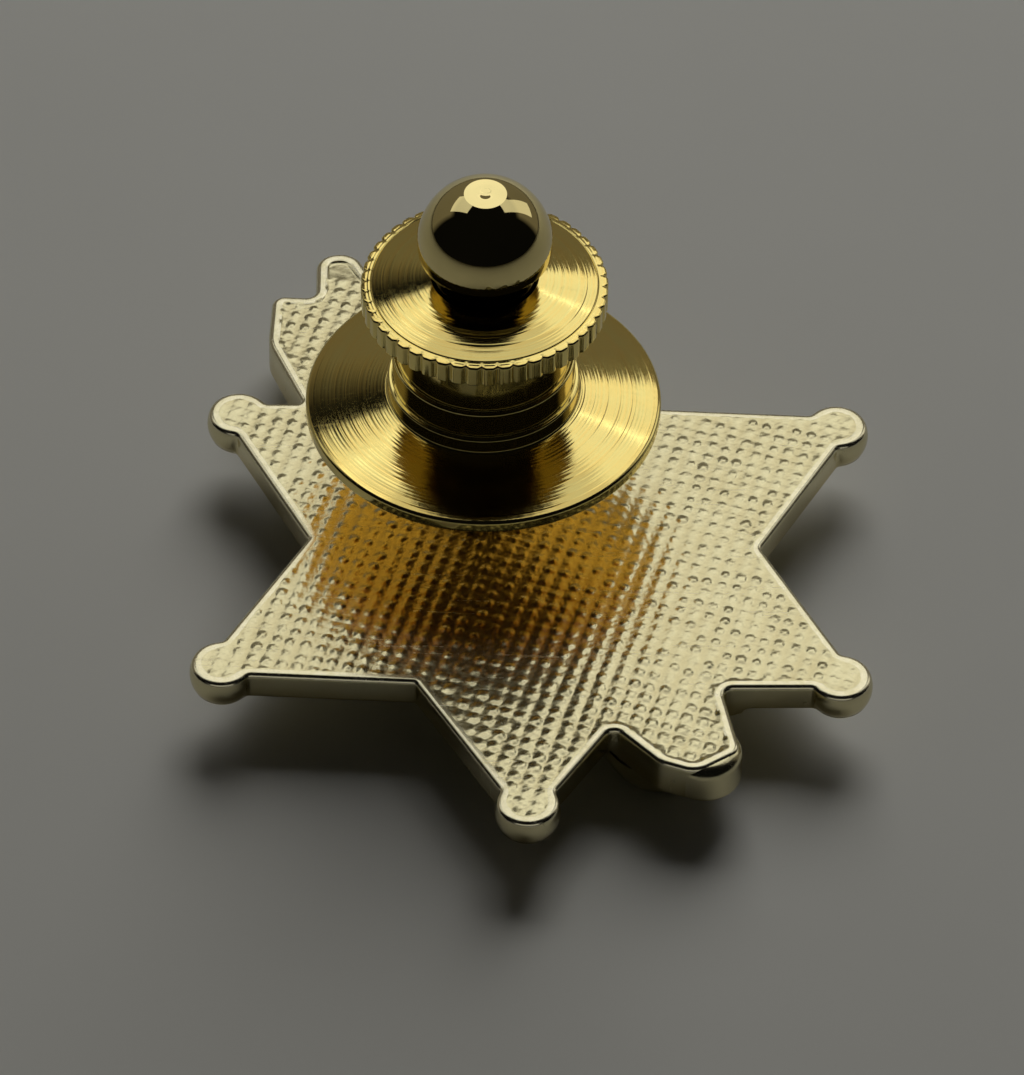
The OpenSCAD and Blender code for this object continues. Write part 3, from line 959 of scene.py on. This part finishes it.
class LAPEL_OT_head(Operator):
    """Build the polished ball head on its neck, with the flanged plunger below"""

    bl_idname = "lapel.head"
    bl_label = "Ball head"

    def execute(self, context):
        sizes = context.scene.lapel_clutch
        middle, round_off = sizes.rim + sizes.head_up, 0.1 * MM
        cut, bore_top = middle - sizes.head_cut, middle + 0.05 * MM
        plunger, flange, flange_top = HEAD_LOW.z, sizes.chamber - 0.1 * MM, HEAD_LOW.z + 0.6 * MM
        rows = [
            (0, bore_top, 0), (sizes.bore, bore_top, 0.1 * MM), (sizes.bore, plunger, 0.05 * MM),
            (flange, plunger, 0.06 * MM), (flange, flange_top, 0.06 * MM),
            (sizes.neck, flange_top, 0.05 * MM), (sizes.neck, cut, 0.08 * MM), (sizes.head, cut, 0)]
        lift = round_off - sizes.head_cut
        reach = math.sqrt((sizes.head - round_off) ** 2 - lift**2)
        rise = math.atan2(lift, reach)
        flat = math.acos(sizes.head_flat / sizes.head)
        edge = middle + sizes.head * math.sin(flat)
        crown, dimple, dimple_depth = 15 * MM, 0.013, 0.03 * MM
        lean = math.asin(sizes.head_flat / crown)
        ball = np.array([
            [reach, cut + round_off, round_off, -math.pi / 2, rise + math.pi / 2, 0, 0],
            [0, middle, sizes.head, rise, flat - rise, 0, 0],
            [0, edge - crown * math.cos(lean), crown, math.pi / 2 - lean, lean - dimple, 0, 0],
            [0, edge - dimple_depth, 0, math.pi / 2, 0, 0, 0]])
        arcs = np.vstack([corner_arcs(rows, closed=False)[:-1], ball])
        head = revolve(CLUTCH_AXIS, arcs, 0.2, 3, 192)
        blend = 0.02 * MM
        # Painted shade: the neck below the cut takes the near-black deep colour
        head.marks["recess"] = ease(cut + blend, cut - blend, head.points[..., 2])
        make_piece("ball_head", [head], "polished", "clutch_head")
        return {"FINISHED"}


def floor_material():
    """Matt pale surface with a faint unevenness."""
    material, tree, shader = new_material("pale_floor")
    place = node(tree, "TexCoord").outputs["Object"]
    pale = tuple(bpy.context.scene.lapel_stage.floor)
    cloudy = map_range(tree, noise(tree, place, 60, 5), 0.3, 0.7)
    tone = mix_colour(tree, cloudy, tuple(0.97 * c for c in pale), pale)
    feed(tree, shader, {"Base Color": tone, "Roughness": 0.7, "Specular IOR Level": 0.15})
    return material


def towards(azimuth, elevation):
    """Unit vector at that angle clockwise from +Y, seen from above, and that height above the floor."""
    flat = math.cos(elevation)
    return Vector((math.sin(azimuth) * flat, math.cos(azimuth) * flat, math.sin(elevation)))


def soft_light(name, azimuth, elevation, width, height, strength, glossy=True, pieces=()):
    """A rectangular light that faces the part, seen from it at these degrees; power = strength x pi x area.

    It is seen in gloss alone, or by matt surfaces alone. Where pieces are named, it reaches only these.
    """
    data = bpy.data.lights.new(name, "AREA")
    data.shape, data.size, data.size_y = "RECTANGLE", width, height
    data.energy = strength * math.pi * width * height
    data.color = bpy.context.scene.lapel_stage.light_tint
    light = add_object(name, data)
    back = towards(math.radians(azimuth), math.radians(elevation))
    light.location = back * LIGHT_DISTANCE
    light.rotation_mode = "QUATERNION"
    light.rotation_quaternion = back.to_track_quat("Z", "Y")
    light.visible_camera, light.visible_diffuse, light.visible_glossy = False, not glossy, glossy
    if pieces:
        reached = bpy.data.collections.new(name + "_reach")
        for piece in pieces:
            reached.objects.link(bpy.data.objects[piece])
        light.light_linking.receiver_collection = reached


def dim_room(backdrop, wall):
    """World of even tone to the camera; to the part it is black but for a dim, low wall behind."""
    world = bpy.data.worlds.new("dim_room")
    world.use_nodes = True
    tree = world.node_tree
    way = node(tree, "SeparateXYZ", {0: node(tree, "TexCoord").outputs["Generated"]}).outputs
    turn = maths(tree, "ABSOLUTE", maths(tree, "ARCTAN2", way["X"], way["Y"]))
    sides = map_range(tree, turn, math.radians(80), math.radians(70))
    height = map_range(tree, way["Z"], math.sin(math.radians(42)), math.sin(math.radians(34)))
    black = (0.003, 0.003, 0.003)
    dim = mix_colour(tree, maths(tree, "MULTIPLY", sides, height), black, wall)
    seen = node(tree, "LightPath").outputs["Is Camera Ray"]
    feed(tree, tree.nodes["Background"].inputs, {"Color": mix_colour(tree, seen, dim, backdrop)})
    return world


class LAPEL_OT_stage(Operator):
    """Set the pale floor, the soft lights, the dim surroundings and the camera"""

    bl_idname = "lapel.stage"
    bl_label = "Stage"

    def execute(self, context):
        scene, stage = context.scene, context.scene.lapel_stage
        mesh, half = bpy.data.meshes.new("floor"), 1.5
        mesh.from_pydata([(x, y, 0) for x in (-half, half) for y in (-half, half)], [], [(0, 2, 3, 1)])
        mesh.materials.append(floor_material())
        floor = add_object("floor", mesh)

        soft_light("window_low", 5, 44, 0.18, 0.072, stage.window)
        soft_light("window", 0, 55, 0.22, 0.0595, stage.window)
        soft_light("window_top", 0, 66, 0.22, 0.0715, stage.window_top)
        soft_light("left_wing", -51, 50, 0.147, 0.182, stage.wings)
        soft_light("right_wing", 52, 38, 0.121, 0.3, stage.wings)
        soft_light("fill", 8, 42, 0.22, 0.24, stage.fill, glossy=False)
        soft_light("panel_front", 180, 22, 0.5, 0.16, stage.front, pieces=("dotted_field", "badge_rim"))
        soft_light("panel_left", -100, 22, 0.3, 0.16, stage.front, pieces=("dotted_field",))
        soft_light("panel_right", 100, 22, 0.3, 0.16, stage.front, pieces=("dotted_field",))
        scene.world = dim_room(tuple(stage.backdrop), tuple(stage.wall))
        scene.view_settings.view_transform = "Standard"

        target, back = Vector((-0.735, 0.190, 2.7)) * MM, towards(math.pi - stage.azimuth, stage.elevation)
        right = (-back).cross(Vector((0, 0, 1))).normalized()
        up = right.cross(-back)
        turned_right = math.cos(stage.roll) * right + math.sin(stage.roll) * up
        turned_up = math.cos(stage.roll) * up - math.sin(stage.roll) * right
        data = bpy.data.cameras.new("camera")
        data.sensor_width, data.lens, data.clip_start = 36, stage.lens, 0.01
        camera = add_object("camera", data)
        turn = Matrix((turned_right, turned_up, back)).transposed().to_4x4()
        camera.matrix_world = Matrix.Translation(target + back * stage.distance) @ turn
        scene.camera = camera
        return {"FINISHED"}


SETTINGS = {"lapel_badge": BadgeSizes, "lapel_dots": DotSizes, "lapel_clutch": ClutchSizes,
            "lapel_finishes": Finishes, "lapel_stage": StageSettings}
STEPS = (LAPEL_OT_rim, LAPEL_OT_field, LAPEL_OT_front, LAPEL_OT_post, LAPEL_OT_base, LAPEL_OT_ring,
         LAPEL_OT_head, LAPEL_OT_stage)


class LAPEL_PT_panel(Panel):
    """Lists the sizes and the steps that build the pin"""

    bl_idname = "LAPEL_PT_panel"
    bl_label = "Lapel Pin"
    bl_space_type = "VIEW_3D"
    bl_region_type = "UI"
    bl_category = "Lapel Pin"

    def draw(self, context):
        for group, made in SETTINGS.items():
            box = self.layout.box()
            for key in made.__annotations__:
                box.prop(getattr(context.scene, group), key)
        for step in STEPS:
            self.layout.operator(step.bl_idname)


def register():
    """Registers the classes and hangs the settings on the scene."""
    for made in (*SETTINGS.values(), *STEPS, LAPEL_PT_panel):
        bpy.utils.register_class(made)
    for name, made in SETTINGS.items():
        setattr(bpy.types.Scene, name, PointerProperty(type=made))


def unregister():
    """Takes the settings off the scene and unregisters the classes."""
    for name in SETTINGS:
        delattr(bpy.types.Scene, name)
    for made in reversed((*SETTINGS.values(), *STEPS, LAPEL_PT_panel)):
        bpy.utils.unregister_class(made)


def main():
    """Builds every piece in order."""
    register()
    for step in STEPS:
        family, name = step.bl_idname.split(".")
        getattr(getattr(bpy.ops, family), name)()


if __name__ == "__main__":
    main()
